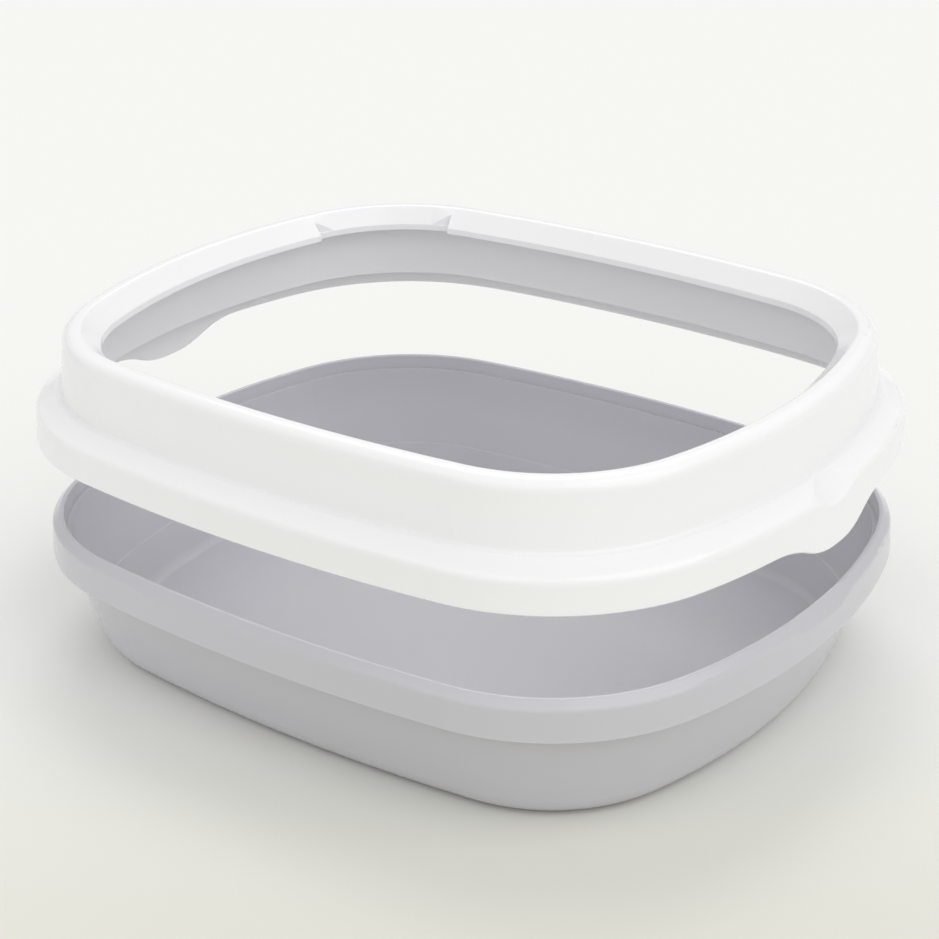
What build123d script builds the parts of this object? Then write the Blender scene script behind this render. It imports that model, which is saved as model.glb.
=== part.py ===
from build123d import *

import math
import os

# Anti-splash litter box: an open tray, and a high rim that clips over the tray's flange.
# Millimetres, Z up. The tray stands on Z = 0, the long side runs along X, and the rim is
# held above the tray, as when it has just been lifted off.
# Every outline is the rim's opening grown outwards, so a place on a wall is given by its
# distance out from the opening's edge and by its height.

# The opening's plan: two bowed ends, two bowed sides and four round corners
opening_length = 415.0
opening_width = 333.0
end_bow_radius = 343.0
side_bow_radius = 1036.0
corner_radius = 84.0

# Tray
tray_height = 88.9
tray_wall = 3.0
floor_thickness = 3.0
floor_edge_out = 3.2
floor_crease_radius = 7.0
base_edge_radius = 19.0
foot_wall_run = 9.2
fill_line_height = 28.2
fill_line_rise = 0.8
fill_line_ledge = 1.2
middle_wall_run = 12.0
wall_bend_drop = 26.9
wall_bend_radius = 90.0
top_wall_run = 2.6
body_foot_swell = 3.6
body_bend_swell = 1.0
step_drop = 9.2
step_ledge = 2.4

# Flange round the top of the tray, with its outer band turned down
flange_wall = 2.5
flange_inner_lean = 0.6
flange_top_width = 2.4
flange_inner_round = 1.0
flange_crest_round = 2.0
flange_shoulder_round = 3.2
flange_shoulder_run = 4.9
flange_shoulder_drop = 4.6
band_height = 18.6
band_flare = 0.8

# Thumb recess in the middle of each end, cut in the flange and again in the rim over it
recess_angle = 50.0
recess_crest_in = 0.6
recess_crest_drop = 2.5
tray_recess_flat = 43.0
tray_recess_run = 24.0
tray_recess_rise = 2.3
tray_recess_round = 5.0
recess_clearance = 0.5
rim_recess_wall = 2.0
rim_recess_sink = 1.5
rim_recess_shoulder_out = 23.4
rim_recess_rise = 3.75
rim_recess_end_out = 40.0
rim_recess_end_rise = 2.62
rim_recess_round = 62.0

# Rim, seated on the flange, in heights above the bottom edge of its skirt
rim_wall = 2.6
rim_clearance = 0.8
seat_clearance = 0.3
rim_lift = 74.0
rim_height = 65.6
skirt_height = 19.6
skirt_flare = 1.0
skirt_edge_chamfer = 0.8
shoulder_round = 5.5
shoulder_rise = 7.2
ledge_beyond_step = 2.0
ledge_width = 4.7
ledge_round = 1.0
wall_foot_rise = 0.2
wall_foot_round = 2.2
wall_lean = 3.2
wall_top_round = 7.5
top_width = 10.7
crest_round = 2.6
lip_shoulder_drop = 11.2
lip_height = 3.8
lip_lean = 0.3
lip_round = 1.0

# Pull lobe that hangs from the skirt in the middle of each end
lobe_drop = 13.0
lobe_flat = 34.8
lobe_run = 28.0
lobe_round = 60.0
lobe_root_round = 70.0

# Scoop rest pressed into the inner slope of the rim's corner at -X and +Y
rest_setback = 4.6
rest_span_angle = 61.7
rest_turn_angle = 5.285
rest_ramp_angle = 8.5
rest_fade = 0.1
rest_notch_out = 7.7

# Share of a straight side that the roundings at its two ends may take up
side_share = 0.98

overrun = 4.0

half_length = opening_length / 2
half_width = opening_width / 2

# Centres of the bowed end on +X, of the bowed side on +Y and of the corner between them
end_centre_x = half_length - end_bow_radius
side_centre_y = half_width - side_bow_radius


def corner_centre():
    """Return the centre of the corner arc, which touches the end arc and the side arc."""
    end_reach = end_bow_radius - corner_radius
    side_reach = side_bow_radius - corner_radius
    span = math.hypot(end_centre_x, side_centre_y)
    along = (end_reach**2 - side_reach**2 + span**2) / (2 * span)
    aside = math.sqrt(end_reach**2 - along**2)
    towards_x, towards_y = -end_centre_x / span, side_centre_y / span
    x = end_centre_x + along * towards_x - aside * towards_y
    y = along * towards_y + aside * towards_x
    return x, y


corner_x, corner_y = corner_centre()
end_angle = math.degrees(math.atan2(corner_y, corner_x - end_centre_x))
side_angle = math.degrees(math.atan2(corner_y - side_centre_y, corner_x))
corner_angle = (end_angle + side_angle) / 2


def around(centre, radius, angle):
    """Return the point at this radius and angle round a centre."""
    turn = math.radians(angle)
    return centre[0] + radius * math.cos(turn), centre[1] + radius * math.sin(turn)


def draw_outline(out):
    """Draw the outline that lies this far outside the opening, as eight tangent arcs."""
    end = around((end_centre_x, 0), end_bow_radius + out, end_angle)
    corner = around((corner_x, corner_y), corner_radius + out, corner_angle)
    side = around((0, side_centre_y), side_bow_radius + out, side_angle)
    for turn in (1, -1):
        ThreePointArc(
            (turn * end[0], turn * end[1]),
            (turn * corner[0], turn * corner[1]),
            (turn * side[0], turn * side[1]),
        )
        ThreePointArc(
            (turn * side[0], turn * side[1]),
            (0, turn * (half_width + out)),
            (-turn * side[0], turn * side[1]),
        )
        ThreePointArc(
            (-turn * side[0], turn * side[1]),
            (-turn * corner[0], turn * corner[1]),
            (-turn * end[0], turn * end[1]),
        )
        ThreePointArc(
            (-turn * end[0], turn * end[1]),
            (-turn * (half_length + out), 0),
            (-turn * end[0], -turn * end[1]),
        )


with BuildLine() as opening_edge:
    draw_outline(0)

end_axis = Axis((end_centre_x, 0, 0), (0, 0, 1))
rest_axis = Axis((-corner_x, corner_y, 0), (0, 0, 1))


def upright_plane(centre, angle, height=0):
    """Return the upright plane through a centre, whose X axis points out at this angle."""
    turn = math.radians(angle)
    outwards = (math.cos(turn), math.sin(turn), 0)
    normal = (math.sin(turn), -math.cos(turn), 0)
    return Plane(origin=(centre[0], centre[1], height), x_dir=outwards, z_dir=normal)


def draw_rounded(places):
    """Draw a closed outline from points and their rounding, kept to what their sides hold."""
    points = [point for point, rounding in places]
    reaches = []
    for index, (point, rounding) in enumerate(places):
        before, after = points[index - 1], points[(index + 1) % len(points)]
        turn = math.atan2(after[1] - point[1], after[0] - point[0])
        turn -= math.atan2(point[1] - before[1], point[0] - before[0])
        reaches.append(abs(rounding * math.tan(turn / 2)))
    roundings = []
    for index, (point, rounding) in enumerate(places):
        crowding = max(
            (reaches[index] + reaches[other]) / math.dist(point, points[other])
            for other in (index - 1, (index + 1) % len(points))
        )
        roundings.append(rounding / max(1, crowding / side_share))
    FilletPolyline(*points, close=True, radius=roundings)


def draw_section(places, arc_radius):
    """Draw a closed section from places on the wall and their rounding, beyond an arc's radius."""
    draw_rounded([((arc_radius + out, height), rounding) for (out, height), rounding in places])


def sharp(places):
    """Give these places on the wall no rounding."""
    return [(place, 0) for place in places]


def out_on_line(first, second, height):
    """Return the distance out, at this height, of the line through two places."""
    slope = (second[0] - first[0]) / (second[1] - first[1])
    return first[0] + slope * (height - first[1])


def height_on_line(first, second, out):
    """Return the height, at this distance out, of the line through two places."""
    slope = (second[1] - first[1]) / (second[0] - first[0])
    return first[1] + slope * (out - first[0])


def shift_line(first, second, distance):
    """Return two places of the line moved square to itself, to the left of its run."""
    run, rise = second[0] - first[0], second[1] - first[1]
    length = math.hypot(run, rise)
    shift = (-rise / length * distance, run / length * distance)
    return (
        (first[0] + shift[0], first[1] + shift[1]),
        (second[0] + shift[0], second[1] + shift[1]),
    )


# Places on the tray's section
fill_line_out = floor_edge_out + foot_wall_run
fill_line_top = (fill_line_out + fill_line_ledge, fill_line_height + fill_line_rise)
wall_bend_out = fill_line_out + fill_line_ledge + middle_wall_run
wall_bend_height = tray_height - wall_bend_drop
step_out = wall_bend_out + top_wall_run
step_height = tray_height - step_drop
flange_foot_out = step_out + step_ledge
flange_inner_out = flange_foot_out + flange_inner_lean
crest_edge_out = flange_inner_out + flange_top_width
band_top_out = crest_edge_out + flange_shoulder_run
band_top_height = tray_height - flange_shoulder_drop
band_out = band_top_out + band_flare
band_bottom_height = band_top_height - band_height
floor_reach = -corner_radius / 3

tray_section = [
    ((floor_reach, 0), 0),
    ((floor_edge_out + tray_wall + body_foot_swell, 0), base_edge_radius),
    ((wall_bend_out + tray_wall + body_bend_swell, wall_bend_height), wall_bend_radius),
    ((flange_foot_out + flange_wall, step_height), 0),
    ((flange_inner_out + flange_wall, band_top_height), 0),
    ((band_top_out - flange_wall, band_top_height - flange_wall / 2), 0),
    ((band_out - flange_wall, band_bottom_height), 0),
    ((band_out, band_bottom_height), 0),
    ((band_top_out, band_top_height), flange_shoulder_round),
    ((crest_edge_out, tray_height), flange_crest_round),
    ((flange_inner_out, tray_height), flange_inner_round),
    ((flange_foot_out, step_height), 0),
    ((step_out, step_height), 0),
    ((wall_bend_out, wall_bend_height), wall_bend_radius),
    (fill_line_top, 0),
    ((fill_line_out, fill_line_height), 0),
    ((floor_edge_out, floor_thickness), floor_crease_radius),
    ((floor_reach, floor_thickness), 0),
]

# Places on the rim's section, in heights above the bottom edge of its skirt
skirt_out = band_out + rim_clearance + rim_wall
skirt_lean = skirt_flare / skirt_height
skirt_end = lobe_drop + overrun
skirt_end_out = skirt_out + skirt_lean * skirt_end
shoulder_edge = (skirt_out - skirt_flare, skirt_height)
ledge_out = step_out + ledge_beyond_step
ledge_edge = (ledge_out, skirt_height + shoulder_rise)
wall_foot_out = ledge_out - ledge_width
wall_foot = (wall_foot_out, skirt_height + shoulder_rise + wall_foot_rise)
wall_top_out = wall_foot_out - wall_lean
crest_out = wall_top_out - top_width
lip_shoulder_height = rim_height - lip_shoulder_drop
lip_bottom_height = lip_shoulder_height - lip_height
channel_roof = shift_line(ledge_edge, shoulder_edge, -rim_wall)
channel_edge_out = skirt_out - skirt_flare - rim_wall
inner_lip_out = step_out - rim_clearance
channel_corner_out = inner_lip_out + rim_wall / 2
channel_height = height_on_line(*channel_roof, channel_corner_out)
lip_line = ((lip_lean, lip_shoulder_height), (crest_out, rim_height))
lip_back = shift_line(*lip_line, -rim_wall)
underside_height = rim_height - rim_wall

# The seated rim hangs on the flange's crest, and its inner lip ends above the tray's step
seated_height = tray_height + seat_clearance - height_on_line(*channel_roof, crest_edge_out)
inner_lip_bottom = step_height + seat_clearance - seated_height
rim_base = seated_height + rim_lift

rim_section = [
    ((skirt_end_out, -skirt_end), 0),
    (shoulder_edge, shoulder_round),
    (ledge_edge, ledge_round),
    (wall_foot, wall_foot_round),
    ((wall_top_out, rim_height), wall_top_round),
    ((crest_out, rim_height), crest_round),
    ((lip_lean, lip_shoulder_height), lip_round),
    ((0, lip_bottom_height), 0),
    ((rim_wall - lip_lean, lip_bottom_height), 0),
    ((rim_wall, height_on_line(*lip_back, rim_wall)), 0),
    ((out_on_line(*lip_back, underside_height), underside_height), 0),
    ((wall_top_out - rim_wall, underside_height), wall_top_round - rim_wall),
    ((inner_lip_out - rim_wall, inner_lip_bottom), 0),
    ((inner_lip_out, inner_lip_bottom), 0),
    ((inner_lip_out, channel_height), 0),
    ((channel_corner_out, channel_height), 0),
    ((channel_edge_out, height_on_line(*channel_roof, channel_edge_out)), 0),
    ((skirt_end_out - rim_wall, -skirt_end), 0),
]

# The thumb recess's floor, which slopes down and outwards across the flange's shoulder
recess_turn = math.radians(recess_angle)
recess_top = (crest_edge_out - recess_crest_in, tray_height - recess_crest_drop)
recess_foot = (recess_top[0] + math.cos(recess_turn), recess_top[1] - math.sin(recess_turn))
tray_recess_back = shift_line(recess_top, recess_foot, -flange_wall)
rim_recess_start_out = (wall_foot_out + ledge_out) / 2
recess_reach = (skirt_out + overrun - rim_recess_start_out) / math.cos(recess_turn)


def recess_plane(end, distance, lift=0):
    """Return the plane across the recess at one end, this far off the flange's own recess."""
    height = height_on_line(*shift_line(recess_top, recess_foot, distance), rim_recess_start_out)
    return Plane(
        origin=(end * (half_length + rim_recess_start_out), 0, height + lift),
        x_dir=(0, end, 0),
        z_dir=(end * math.cos(recess_turn), 0, -math.sin(recess_turn)),
    )


def draw_tray_recess():
    """Draw the flange's recess across its slope: a flat floor whose ends run up at a slope."""
    reach = tray_recess_flat / 2 + tray_recess_run
    places = [
        ((-reach, tray_recess_rise + overrun), 0),
        ((-reach, tray_recess_rise), 0),
        ((-tray_recess_flat / 2, 0), tray_recess_round),
        ((tray_recess_flat / 2, 0), tray_recess_round),
        ((reach, tray_recess_rise), 0),
        ((reach, tray_recess_rise + overrun), 0),
    ]
    draw_rounded(places)


def draw_rim_recess():
    """Draw the rim's recess across its slope: one smooth dip that fades out at its ends."""
    places = [
        ((-rim_recess_end_out, rim_recess_rise + overrun), 0),
        ((-rim_recess_end_out, rim_recess_end_rise), 0),
        ((-rim_recess_shoulder_out, rim_recess_rise), rim_recess_round),
        ((0, -rim_recess_sink), rim_recess_round),
        ((rim_recess_shoulder_out, rim_recess_rise), rim_recess_round),
        ((rim_recess_end_out, rim_recess_end_rise), 0),
        ((rim_recess_end_out, rim_recess_rise + overrun), 0),
    ]
    draw_rounded(places)


# Backing behind the tray's recess, which closes the hollow flange there
tray_backing_angle = math.degrees((tray_recess_flat / 2 + tray_recess_run) / end_bow_radius)
leg_middle_out = flange_inner_out + flange_wall / 2
band_middle_out = band_top_out - flange_wall / 2
tray_backing_places = [
    (leg_middle_out, height_on_line(*tray_recess_back, leg_middle_out)),
    (leg_middle_out, tray_height - flange_wall / 2),
    (band_middle_out, band_top_height),
    (band_middle_out, height_on_line(*tray_recess_back, band_middle_out)),
]

with BuildPart() as tray_backing:
    with BuildSketch(upright_plane((end_centre_x, 0), -tray_backing_angle)):
        with BuildLine():
            draw_section(sharp(tray_backing_places), end_bow_radius)
        make_face()
    revolve(axis=end_axis, revolution_arc=2 * tray_backing_angle)

# Tray: a swept wall with its flange, the floor inside it, and a thumb recess at each end
with BuildPart() as tray:
    with BuildSketch(upright_plane((end_centre_x, 0), end_angle)):
        with BuildLine():
            draw_section(tray_section, end_bow_radius)
        make_face()
    sweep(path=opening_edge.wire())
    with BuildSketch():
        with BuildLine():
            draw_outline(floor_reach)
        make_face()
    extrude(amount=floor_thickness)
    add(tray_backing.part)
    mirror(tray_backing.part, about=Plane.YZ)
    for end in (1, -1):
        with BuildSketch(recess_plane(end, 0)):
            with BuildLine():
                draw_tray_recess()
            make_face()
        extrude(amount=recess_reach, mode=Mode.SUBTRACT)

tray.part.label = "tray"

# Backing under the rim's recess: the channel is filled down to a wall's thickness below it
rim_recess_off = recess_clearance + rim_recess_wall
rim_backing_angle = math.degrees(rim_recess_end_out / end_bow_radius)
roof_middle = shift_line(*channel_roof, rim_wall / 2)
rim_backing_places = [
    (channel_corner_out, height_on_line(*roof_middle, channel_corner_out)),
    (skirt_out - skirt_flare - rim_wall / 2, height_on_line(*roof_middle, skirt_out - rim_wall)),
    (skirt_out - rim_wall / 2, 0),
    (channel_corner_out, 0),
]

with BuildPart() as rim_backing:
    with BuildSketch(upright_plane((end_centre_x, 0), -rim_backing_angle, rim_base)):
        with BuildLine():
            draw_section(sharp(rim_backing_places), end_bow_radius)
        make_face()
    revolve(axis=end_axis, revolution_arc=2 * rim_backing_angle)
    with BuildSketch(recess_plane(1, recess_clearance, rim_lift)):
        with BuildLine():
            draw_rim_recess()
        make_face()
    extrude(amount=recess_reach, mode=Mode.INTERSECT)

# The scoop rest spans the corner's arc, turned a little round it from its middle
rest_middle_angle = 180 - corner_angle + rest_turn_angle
rest_start_angle = rest_middle_angle - rest_span_angle / 2
rest_end_angle = rest_middle_angle + rest_span_angle / 2

# Section of the scoop rest: the lip set back, and a steeper panel from there to the crest
rest_panel = ((rest_setback, lip_shoulder_height), (crest_out, rim_height))
rest_back = shift_line(*rest_panel, -rim_wall)
rest_lip_back_out = rest_setback + rim_wall
rest_top_out = out_on_line(*rest_back, underside_height)
lip_middle = shift_line(*lip_line, -rim_wall / 2)
rest_wall_places = [
    (rest_setback, lip_bottom_height),
    (rest_lip_back_out, lip_bottom_height),
    (rest_lip_back_out, height_on_line(*rest_back, rest_lip_back_out)),
    (rest_top_out, underside_height),
    (rest_top_out, rim_height - rim_wall / 2),
    (rest_setback, height_on_line(*lip_middle, rest_setback)),
]
rest_notch_back_out = rest_notch_out + rim_wall
rest_notch_wall_places = [
    (rest_setback, lip_bottom_height),
    (rest_notch_back_out, lip_bottom_height),
    (rest_notch_back_out, height_on_line(*lip_middle, rest_notch_back_out)),
    (rest_setback, height_on_line(*lip_middle, rest_setback)),
]
lip_cut_places = [
    (-overrun, lip_bottom_height - overrun),
    (rest_setback, lip_bottom_height - overrun),
    (rest_setback, rim_height + overrun),
    (-overrun, rim_height + overrun),
]


def draw_panel_cut(line):
    """Draw what is cut away above a line of the inner slope."""
    inner_out, outer_out = rest_setback - overrun, crest_out + overrun
    places = [
        (inner_out, height_on_line(*line, inner_out)),
        (outer_out, height_on_line(*line, outer_out)),
        (inner_out, height_on_line(*line, outer_out)),
    ]
    draw_section(sharp(places), corner_radius)


def rest_plane(angle):
    """Return the upright plane at this angle round the rest's corner, in the rim's heights."""
    return upright_plane((-corner_x, corner_y), angle, rim_base)


def draw_notch(outer_angle, inner_angle):
    """Draw, from above, the wedge at one end of the rest, which is deepest at that end."""
    centre = (-corner_x, corner_y)
    places = [
        around(centre, corner_radius + rest_setback, inner_angle),
        around(centre, corner_radius + rest_notch_out, outer_angle),
        around(centre, corner_radius - overrun, outer_angle),
        around(centre, corner_radius - overrun, inner_angle),
    ]
    draw_rounded(sharp(places))


# Rim: a swept double wall with a lobe and a thumb recess at each end and a scoop rest
with BuildPart() as splash_rim:
    with BuildSketch(upright_plane((end_centre_x, 0), end_angle, rim_base)):
        with BuildLine():
            draw_section(rim_section, end_bow_radius)
        make_face()
    sweep(path=opening_edge.wire())

    # The skirt is trimmed level all round, but for the lobes
    skirt_reach = half_width + skirt_end_out + overrun
    below_skirt = [
        ((-skirt_reach, 0), 0),
        ((-lobe_flat / 2 - lobe_run, 0), lobe_root_round),
        ((-lobe_flat / 2, -lobe_drop), lobe_round),
        ((lobe_flat / 2, -lobe_drop), lobe_round),
        ((lobe_flat / 2 + lobe_run, 0), lobe_root_round),
        ((skirt_reach, 0), 0),
        ((skirt_reach, -skirt_end - overrun), 0),
        ((-skirt_reach, -skirt_end - overrun), 0),
    ]
    with BuildSketch(Plane(origin=(0, 0, rim_base), x_dir=(0, 1, 0), z_dir=(1, 0, 0))):
        with BuildLine():
            draw_rounded(below_skirt)
        make_face()
    extrude(amount=half_length + skirt_end_out + overrun, both=True, mode=Mode.SUBTRACT)
    skirt_edges = splash_rim.edges(Select.LAST).filter_by_position(
        Axis.Z, rim_base - lobe_drop, rim_base
    )
    chamfer(skirt_edges, length=skirt_edge_chamfer)

    # Thumb recesses
    add(rim_backing.part)
    mirror(rim_backing.part, about=Plane.YZ)
    for end in (1, -1):
        with BuildSketch(recess_plane(end, rim_recess_off, rim_lift)):
            with BuildLine():
                draw_rim_recess()
            make_face()
        extrude(amount=recess_reach, mode=Mode.SUBTRACT)

    # Scoop rest: the lip is cut back, the wall rebuilt behind it and the panel pressed in
    with BuildSketch(rest_plane(rest_start_angle)):
        with BuildLine():
            draw_section(sharp(lip_cut_places), corner_radius)
        make_face()
    revolve(axis=rest_axis, revolution_arc=rest_span_angle, mode=Mode.SUBTRACT)
    with BuildSketch(rest_plane(rest_start_angle)):
        with BuildLine():
            draw_section(sharp(rest_wall_places), corner_radius)
        make_face()
    revolve(axis=rest_axis, revolution_arc=rest_span_angle)
    with BuildSketch(rest_plane(rest_start_angle + rest_ramp_angle)):
        with BuildLine():
            draw_panel_cut(rest_panel)
        make_face()
    revolve(axis=rest_axis, revolution_arc=rest_span_angle - 2 * rest_ramp_angle, mode=Mode.SUBTRACT)
    for outer_angle, inner_angle in (
        (rest_start_angle, rest_start_angle + rest_ramp_angle),
        (rest_end_angle, rest_end_angle - rest_ramp_angle),
    ):
        with BuildSketch(rest_plane(min(outer_angle, inner_angle))):
            with BuildLine():
                draw_section(sharp(rest_notch_wall_places), corner_radius)
            make_face()
        revolve(axis=rest_axis, revolution_arc=rest_ramp_angle)
        with BuildSketch(rest_plane(outer_angle)):
            with BuildLine():
                draw_panel_cut(shift_line(*lip_line, rest_fade))
            make_face()
        with BuildSketch(rest_plane(inner_angle)):
            with BuildLine():
                draw_panel_cut(rest_panel)
            make_face()
        loft(ruled=True, mode=Mode.SUBTRACT)
        with BuildSketch(Plane.XY.offset(rim_base + lip_shoulder_height)):
            with BuildLine():
                draw_notch(outer_angle, inner_angle)
            make_face()
        extrude(amount=lip_shoulder_drop + overrun, mode=Mode.SUBTRACT)

splash_rim.part.label = "splash_rim"

os.makedirs("parts", exist_ok=True)
export_step(tray.part, "parts/tray.step")
export_step(splash_rim.part, "parts/splash_rim.step")
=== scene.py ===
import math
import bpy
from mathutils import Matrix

bl_info = {
    "name": "Litter Box",
    "version": (1, 0, 0),
    "blender": (4, 5, 0),
    "location": "3D View > Sidebar > Litter Box",
    "description": "Dresses a litter tray and its splash rim and sets them on a pale studio floor",
    "category": "Object",
}

import bpy
from bpy.props import FloatProperty, FloatVectorProperty, PointerProperty
from mathutils import Matrix, Vector

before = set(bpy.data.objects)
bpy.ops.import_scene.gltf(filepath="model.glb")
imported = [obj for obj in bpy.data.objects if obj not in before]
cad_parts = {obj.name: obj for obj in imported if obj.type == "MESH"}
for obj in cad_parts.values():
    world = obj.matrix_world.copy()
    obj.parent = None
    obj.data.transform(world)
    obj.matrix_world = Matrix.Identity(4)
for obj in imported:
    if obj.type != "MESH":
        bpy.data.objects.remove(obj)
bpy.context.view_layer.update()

MM = 0.001
WHITE = (1.0, 1.0, 1.0, 1.0)

POLYPROPYLENE_IOR = 1.49

# Sockets of the Mix node that take and give colours, which share their names with others
MIX_FACTOR, MIX_A, MIX_B, MIX_RESULT = 0, 6, 7, 2

# Noise seldom leaves this range, so it is stretched to cover the whole spread
NOISE_LOW, NOISE_HIGH = 0.3, 0.7

# The melt runs along the wall, so its streaks are drawn out level
STREAK_STRETCH = (0.4, 0.4, 1.6)

SOFTBOXES = ("end", "front", "back")
SOFTBOX_DISTANCE = 2.0
SENSOR_WIDTH = 36.0


def linear_colour(hex_code):
    """Turn an sRGB hex code into a linear colour with alpha."""
    channels = []
    for start in (0, 2, 4):
        value = int(hex_code[start:start + 2], 16) / 255
        channels.append(value / 12.92 if value <= 0.04045 else ((value + 0.055) / 1.055) ** 2.4)
    return (*channels, 1.0)


def add_node(tree, kind, values=None, links=None, **settings):
    """Add a node, set its properties and its sockets' values, and link its sockets."""
    node = tree.nodes.new(kind)
    for name, value in settings.items():
        setattr(node, name, value)
    for socket, value in (values or {}).items():
        node.inputs[socket].default_value = value
    for socket, source in (links or {}).items():
        tree.links.new(source, node.inputs[socket])
    return node


def colour_property(name, description, hex_code):
    """Make a colour property from an sRGB hex code."""
    return FloatVectorProperty(
        name=name,
        description=description,
        subtype="COLOR",
        size=4,
        min=0.0,
        max=1.0,
        default=linear_colour(hex_code),
    )


def lamp_strength(name, description, strength):
    """Make a property for a lamp's strength in watts on a square metre that faces it."""
    return FloatProperty(name=name, description=description, default=strength, min=0.0)


def lamp_angle(name, description, degrees):
    """Make a property for an angle of a lamp."""
    return FloatProperty(
        name=name,
        description=description,
        subtype="ANGLE",
        default=math.radians(degrees),
    )


class MouldedFinish:
    """Sizes of a moulded finish, the same for both mouldings."""

    # The real grain is finer than a render shows, so it is drawn coarser here
    grain_size: FloatProperty(
        name="Grain size",
        description="Spacing of the faint grain left by the mould's polish",
        default=1.2 * MM,
        precision=5,
        unit="LENGTH",
    )
    grain_depth: FloatProperty(
        name="Grain depth",
        description="Height of that grain",
        default=0.001 * MM,
        precision=6,
        unit="LENGTH",
    )
    sink_size: FloatProperty(
        name="Sink size",
        description="Spacing of the shallow waves where the plastic shrank as it cooled",
        default=45 * MM,
        unit="LENGTH",
    )
    sink_depth: FloatProperty(
        name="Sink depth",
        description="Height of those waves",
        default=0.015 * MM,
        precision=5,
        unit="LENGTH",
    )
    roughness: FloatProperty(
        name="Roughness",
        description="Mean roughness of the satin face",
        default=0.17,
        min=0.0,
        max=1.0,
        subtype="FACTOR",
    )
    roughness_spread: FloatProperty(
        name="Roughness spread",
        description="How far the roughness wanders from its mean",
        default=0.03,
        min=0.0,
        max=0.5,
        subtype="FACTOR",
    )
    cloudiness: FloatProperty(
        name="Cloudiness",
        description="Share of the light that wanders inside the plastic before it leaves",
        default=0.2,
        min=0.0,
        max=1.0,
        subtype="FACTOR",
    )
    light_depth: FloatProperty(
        name="Light depth",
        description="How far that light wanders between turns",
        default=3.0 * MM,
        unit="LENGTH",
    )


class TraySettings(MouldedFinish, bpy.types.PropertyGroup):
    """Finish of the tray."""

    colour: colour_property("Colour", "Pale cool grey of the tray", "CAC9CF")
    flow_colour: colour_property("Flow colour", "Paler grey in the flow streaks", "CCCBD0")


class RimSettings(MouldedFinish, bpy.types.PropertyGroup):
    """Finish of the splash rim."""

    colour: colour_property("Colour", "White of the rim", "F7F7F9")
    flow_colour: colour_property("Flow colour", "Warmer white in the flow streaks", "F8F8F9")


class StageSettings(bpy.types.PropertyGroup):
    """Floor, lamps and camera."""

    floor_colour: colour_property("Floor colour", "Pale seamless floor", "F1F1EE")
    # The front colour and its fade are painted shade: the floor turns darker and warmer towards
    # the front
    floor_front_shade_colour: colour_property("Floor front shade", "Floor in front of the box", "E0E0D5")
    floor_shade_start: FloatProperty(
        name="Floor shade start",
        description="Where the floor starts to darken forwards, behind the box's middle",
        default=0.0,
        unit="LENGTH",
    )
    floor_shade_end: FloatProperty(
        name="Floor shade end",
        description="Where it has its front colour, behind the middle, so negative in front",
        default=-0.42,
        unit="LENGTH",
    )
    floor_size: FloatProperty(
        name="Floor size",
        description="Length of the square floor's side",
        default=12.0,
        unit="LENGTH",
    )
    camera_place: FloatVectorProperty(
        name="Camera place",
        description="Where the camera stands, from the middle of the tray's underside",
        subtype="TRANSLATION",
        unit="LENGTH",
        default=(0.7265, -0.9806, 0.6631),
    )
    camera_azimuth: FloatProperty(
        name="Camera azimuth",
        description="Turn of the view from looking along +Y",
        subtype="ANGLE",
        default=math.radians(36.53),
    )
    camera_elevation: FloatProperty(
        name="Camera elevation",
        description="Height of the view above the horizon",
        subtype="ANGLE",
        default=math.radians(24.45),
    )
    camera_roll: FloatProperty(
        name="Camera roll",
        description="Lean of the camera to one side",
        subtype="ANGLE",
        default=math.radians(-0.67),
    )
    lens: FloatProperty(
        name="Lens",
        description="Focal length on a 36 mm wide sensor, in millimetres",
        default=83.6,
    )
    sky_strength: FloatProperty(
        name="Sky strength",
        description="Brightness of the even light from all round",
        default=0.6,
        min=0.0,
    )
    end_strength: lamp_strength("End strength", "Strength of the softbox at the +X end", 0.88)
    end_turn: lamp_angle("End turn", "Where that softbox stands, turned from +X towards +Y", 0.0)
    end_height: lamp_angle("End height", "Height of that softbox above the horizon", 45.0)
    end_spread: lamp_angle("End spread", "How wide that softbox looks from the box", 60.0)
    front_strength: lamp_strength("Front strength", "Strength of the softbox in front", 0.48)
    front_turn: lamp_angle("Front turn", "Where that softbox stands, as for the end", -90.0)
    front_height: lamp_angle("Front height", "Height of that softbox above the horizon", 45.0)
    front_spread: lamp_angle("Front spread", "How wide that softbox looks from the box", 60.0)
    back_strength: lamp_strength("Back strength", "Strength of the softbox behind", 0.6)
    back_turn: lamp_angle("Back turn", "Where that softbox stands, as for the end", 126.5)
    back_height: lamp_angle("Back height", "Height of that softbox above the horizon", 50.0)
    back_spread: lamp_angle("Back spread", "How wide that softbox looks from the box", 36.0)


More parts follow.
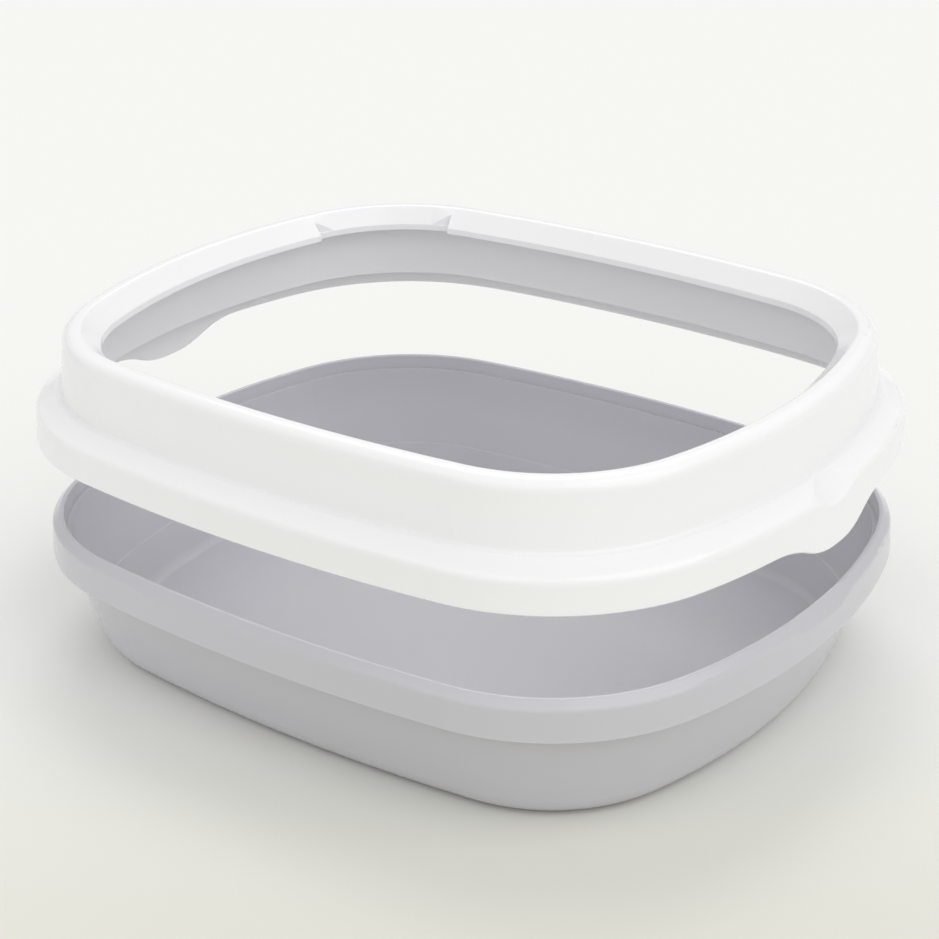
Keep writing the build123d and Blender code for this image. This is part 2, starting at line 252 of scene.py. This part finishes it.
def moulded_polypropylene(name, finish):
    """Make satin moulded polypropylene, injected into a polished mould: a slightly cloudy
    colour with faint flow streaks, soft highlights, shallow sinks and hardly any grain."""
    material = bpy.data.materials.new(name)
    material.use_nodes = True
    tree = material.node_tree
    tree.nodes.clear()
    place = add_node(tree, "ShaderNodeTexCoord").outputs["Object"]

    streaks_at = add_node(
        tree,
        "ShaderNodeMapping",
        values={"Scale": STREAK_STRETCH},
        links={"Vector": place},
    )
    flow = add_node(
        tree,
        "ShaderNodeTexNoise",
        values={"Scale": 1 / finish.sink_size, "Detail": 3.0, "Roughness": 0.5},
        links={"Vector": streaks_at.outputs["Vector"]},
    )
    colour = add_node(
        tree,
        "ShaderNodeMix",
        data_type="RGBA",
        values={MIX_A: finish.colour, MIX_B: finish.flow_colour},
        links={MIX_FACTOR: flow.outputs["Fac"]},
    )

    # Handling and the mould's polish leave the gloss slightly uneven, in patches half as wide
    # as a sink
    patch_size = finish.sink_size / 2
    polish = add_node(
        tree,
        "ShaderNodeTexNoise",
        values={"Scale": 1 / patch_size, "Detail": 4.0, "Roughness": 0.6},
        links={"Vector": place},
    )
    roughness = add_node(
        tree,
        "ShaderNodeMapRange",
        values={
            "From Min": NOISE_LOW,
            "From Max": NOISE_HIGH,
            "To Min": finish.roughness - finish.roughness_spread,
            "To Max": finish.roughness + finish.roughness_spread,
        },
        links={"Value": polish.outputs["Fac"]},
    )

    # The plastic shrinks as it cools, which leaves shallow sinks under the grain
    sink = add_node(
        tree,
        "ShaderNodeTexNoise",
        values={"Scale": 1 / finish.sink_size, "Detail": 0.0},
        links={"Vector": place},
    )
    sink_bump = add_node(
        tree,
        "ShaderNodeBump",
        values={"Strength": 1.0, "Distance": finish.sink_depth},
        links={"Height": sink.outputs["Fac"]},
    )
    grain = add_node(
        tree,
        "ShaderNodeTexNoise",
        values={"Scale": 1 / finish.grain_size, "Detail": 2.0, "Roughness": 0.6},
        links={"Vector": place},
    )
    grain_bump = add_node(
        tree,
        "ShaderNodeBump",
        values={"Strength": 1.0, "Distance": finish.grain_depth},
        links={"Height": grain.outputs["Fac"], "Normal": sink_bump.outputs["Normal"]},
    )

    # Polypropylene is slightly cloudy: some light wanders inside it before it leaves
    surface = add_node(
        tree,
        "ShaderNodeBsdfPrincipled",
        values={
            "IOR": POLYPROPYLENE_IOR,
            "Metallic": 0.0,
            "Subsurface Weight": finish.cloudiness,
            "Subsurface Radius": (1.0, 1.0, 1.0),
            "Subsurface Scale": finish.light_depth,
        },
        links={
            "Base Color": colour.outputs[MIX_RESULT],
            "Roughness": roughness.outputs["Result"],
            "Normal": grain_bump.outputs["Normal"],
        },
    )
    add_node(tree, "ShaderNodeOutputMaterial", links={"Surface": surface.outputs["BSDF"]})
    return material


def dress(node_name, material):
    """Give a node of the frame its finish."""
    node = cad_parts[node_name]
    node.data.materials.clear()
    node.data.materials.append(material)


class LITTERBOX_OT_dress_tray(bpy.types.Operator):
    """Give the tray its pale grey moulded finish"""

    bl_idname = "litter_box.dress_tray"
    bl_label = "Dress Tray"

    def execute(self, context):
        finish = context.scene.litter_tray
        dress("tray", moulded_polypropylene("grey_moulded_polypropylene", finish))
        return {"FINISHED"}


class LITTERBOX_OT_dress_rim(bpy.types.Operator):
    """Give the splash rim its white moulded finish"""

    bl_idname = "litter_box.dress_rim"
    bl_label = "Dress Splash Rim"

    def execute(self, context):
        finish = context.scene.litter_rim
        dress("splash_rim", moulded_polypropylene("white_moulded_polypropylene", finish))
        return {"FINISHED"}


class LITTERBOX_OT_set_stage(bpy.types.Operator):
    """Lay the floor, hang the lamps and place the camera"""

    bl_idname = "litter_box.set_stage"
    bl_label = "Set Stage"

    def execute(self, context):
        stage = context.scene.litter_stage
        lay_floor(stage)
        light_stage(context.scene, stage)
        place_camera(context.scene, stage)
        context.scene.view_settings.view_transform = "Standard"
        return {"FINISHED"}


def floor_with_painted_shade(stage):
    """Make the floor's board, rolled with matt paint: it has no gloss, and painted shade
    fades its colour to a darker, warmer grey at the front, towards the camera."""
    material = bpy.data.materials.new("matt_painted_board")
    material.use_nodes = True
    tree = material.node_tree
    tree.nodes.clear()
    place = add_node(tree, "ShaderNodeTexCoord").outputs["Object"]
    turned = add_node(
        tree,
        "ShaderNodeMapping",
        values={"Rotation": (0, 0, -stage.camera_azimuth)},
        links={"Vector": place},
    )
    depth = add_node(tree, "ShaderNodeSeparateXYZ", links={"Vector": turned.outputs["Vector"]})
    # Painted shade: along the camera's view the floor darkens to a warmer grey towards the front
    front_shade = add_node(
        tree,
        "ShaderNodeMapRange",
        interpolation_type="SMOOTHSTEP",
        values={"From Min": stage.floor_shade_start, "From Max": stage.floor_shade_end},
        links={"Value": depth.outputs["Y"]},
    )
    colour = add_node(
        tree,
        "ShaderNodeMix",
        data_type="RGBA",
        values={MIX_A: stage.floor_colour, MIX_B: stage.floor_front_shade_colour},
        links={MIX_FACTOR: front_shade.outputs["Result"]},
    )
    surface = add_node(
        tree,
        "ShaderNodeBsdfPrincipled",
        values={"Roughness": 0.9, "Specular IOR Level": 0.0},
        links={"Base Color": colour.outputs[MIX_RESULT]},
    )
    add_node(tree, "ShaderNodeOutputMaterial", links={"Surface": surface.outputs["BSDF"]})
    return material


def lay_floor(stage):
    """Lay a square floor under the tray."""
    reach = stage.floor_size / 2
    corners = [(-reach, -reach, 0), (reach, -reach, 0), (reach, reach, 0), (-reach, reach, 0)]
    mesh = bpy.data.meshes.new("floor")
    mesh.from_pydata(corners, [], [(0, 1, 2, 3)])
    mesh.materials.append(floor_with_painted_shade(stage))
    floor = bpy.data.objects.new("floor", mesh)
    bpy.context.scene.collection.objects.link(floor)


def light_stage(scene, stage):
    """Light the stage evenly from all round, and with three large, far softboxes."""
    world = bpy.data.worlds.new("studio")
    world.use_nodes = True
    world.node_tree.nodes.clear()
    sky = add_node(
        world.node_tree,
        "ShaderNodeBackground",
        values={"Color": WHITE, "Strength": stage.sky_strength},
    )
    add_node(
        world.node_tree,
        "ShaderNodeOutputWorld",
        links={"Surface": sky.outputs["Background"]},
    )
    scene.world = world

    # A softbox far away sends the same light everywhere, as a sun lamp of its spread does
    for name in SOFTBOXES:
        lamp = bpy.data.lights.new(name + "_lamp", "SUN")
        lamp.energy = getattr(stage, name + "_strength")
        lamp.angle = getattr(stage, name + "_spread")
        turn, height = getattr(stage, name + "_turn"), getattr(stage, name + "_height")
        level = math.cos(height)
        towards = Vector((math.cos(turn) * level, math.sin(turn) * level, math.sin(height)))
        holder = bpy.data.objects.new(name + "_lamp", lamp)
        holder.location = towards * SOFTBOX_DISTANCE
        holder.rotation_euler = towards.to_track_quat("Z", "Y").to_euler()
        scene.collection.objects.link(holder)


def place_camera(scene, stage):
    """Place the camera at the photograph's viewing angle."""
    azimuth, elevation = stage.camera_azimuth, stage.camera_elevation
    level = math.cos(elevation)
    back = Vector((math.sin(azimuth) * level, -math.cos(azimuth) * level, math.sin(elevation)))
    right = Vector((math.cos(azimuth), math.sin(azimuth), 0))
    turn = Matrix((right, back.cross(right), back)).transposed()
    camera = bpy.data.cameras.new("camera")
    camera.lens = stage.lens
    camera.sensor_width = SENSOR_WIDTH
    holder = bpy.data.objects.new("camera", camera)
    holder.matrix_world = (
        Matrix.Translation(stage.camera_place)
        @ turn.to_4x4()
        @ Matrix.Rotation(stage.camera_roll, 4, "Z")
    )
    scene.collection.objects.link(holder)
    scene.camera = holder


class LITTERBOX_PT_sidebar(bpy.types.Panel):
    """Lists the finishes and the stage"""

    bl_label = "Litter Box"
    bl_space_type = "VIEW_3D"
    bl_region_type = "UI"
    bl_category = "Litter Box"

    def draw(self, context):
        scene = context.scene
        for settings, operator in (
            (scene.litter_tray, LITTERBOX_OT_dress_tray),
            (scene.litter_rim, LITTERBOX_OT_dress_rim),
            (scene.litter_stage, LITTERBOX_OT_set_stage),
        ):
            box = self.layout.box()
            for name in settings.bl_rna.properties.keys():
                if name not in {"rna_type", "name"}:
                    box.prop(settings, name)
            box.operator(operator.bl_idname)


CLASSES = (
    TraySettings,
    RimSettings,
    StageSettings,
    LITTERBOX_OT_dress_tray,
    LITTERBOX_OT_dress_rim,
    LITTERBOX_OT_set_stage,
    LITTERBOX_PT_sidebar,
)


def register():
    """Register the classes and hang their settings on the scene."""
    for cls in CLASSES:
        bpy.utils.register_class(cls)
    bpy.types.Scene.litter_tray = PointerProperty(type=TraySettings)
    bpy.types.Scene.litter_rim = PointerProperty(type=RimSettings)
    bpy.types.Scene.litter_stage = PointerProperty(type=StageSettings)


def unregister():
    """Take the settings off the scene and unregister the classes."""
    del bpy.types.Scene.litter_stage
    del bpy.types.Scene.litter_rim
    del bpy.types.Scene.litter_tray
    for cls in reversed(CLASSES):
        bpy.utils.unregister_class(cls)


def main():
    """Dress both mouldings and set the stage."""
    register()
    bpy.ops.litter_box.dress_tray()
    bpy.ops.litter_box.dress_rim()
    bpy.ops.litter_box.set_stage()


if __name__ == "__main__":
    main()
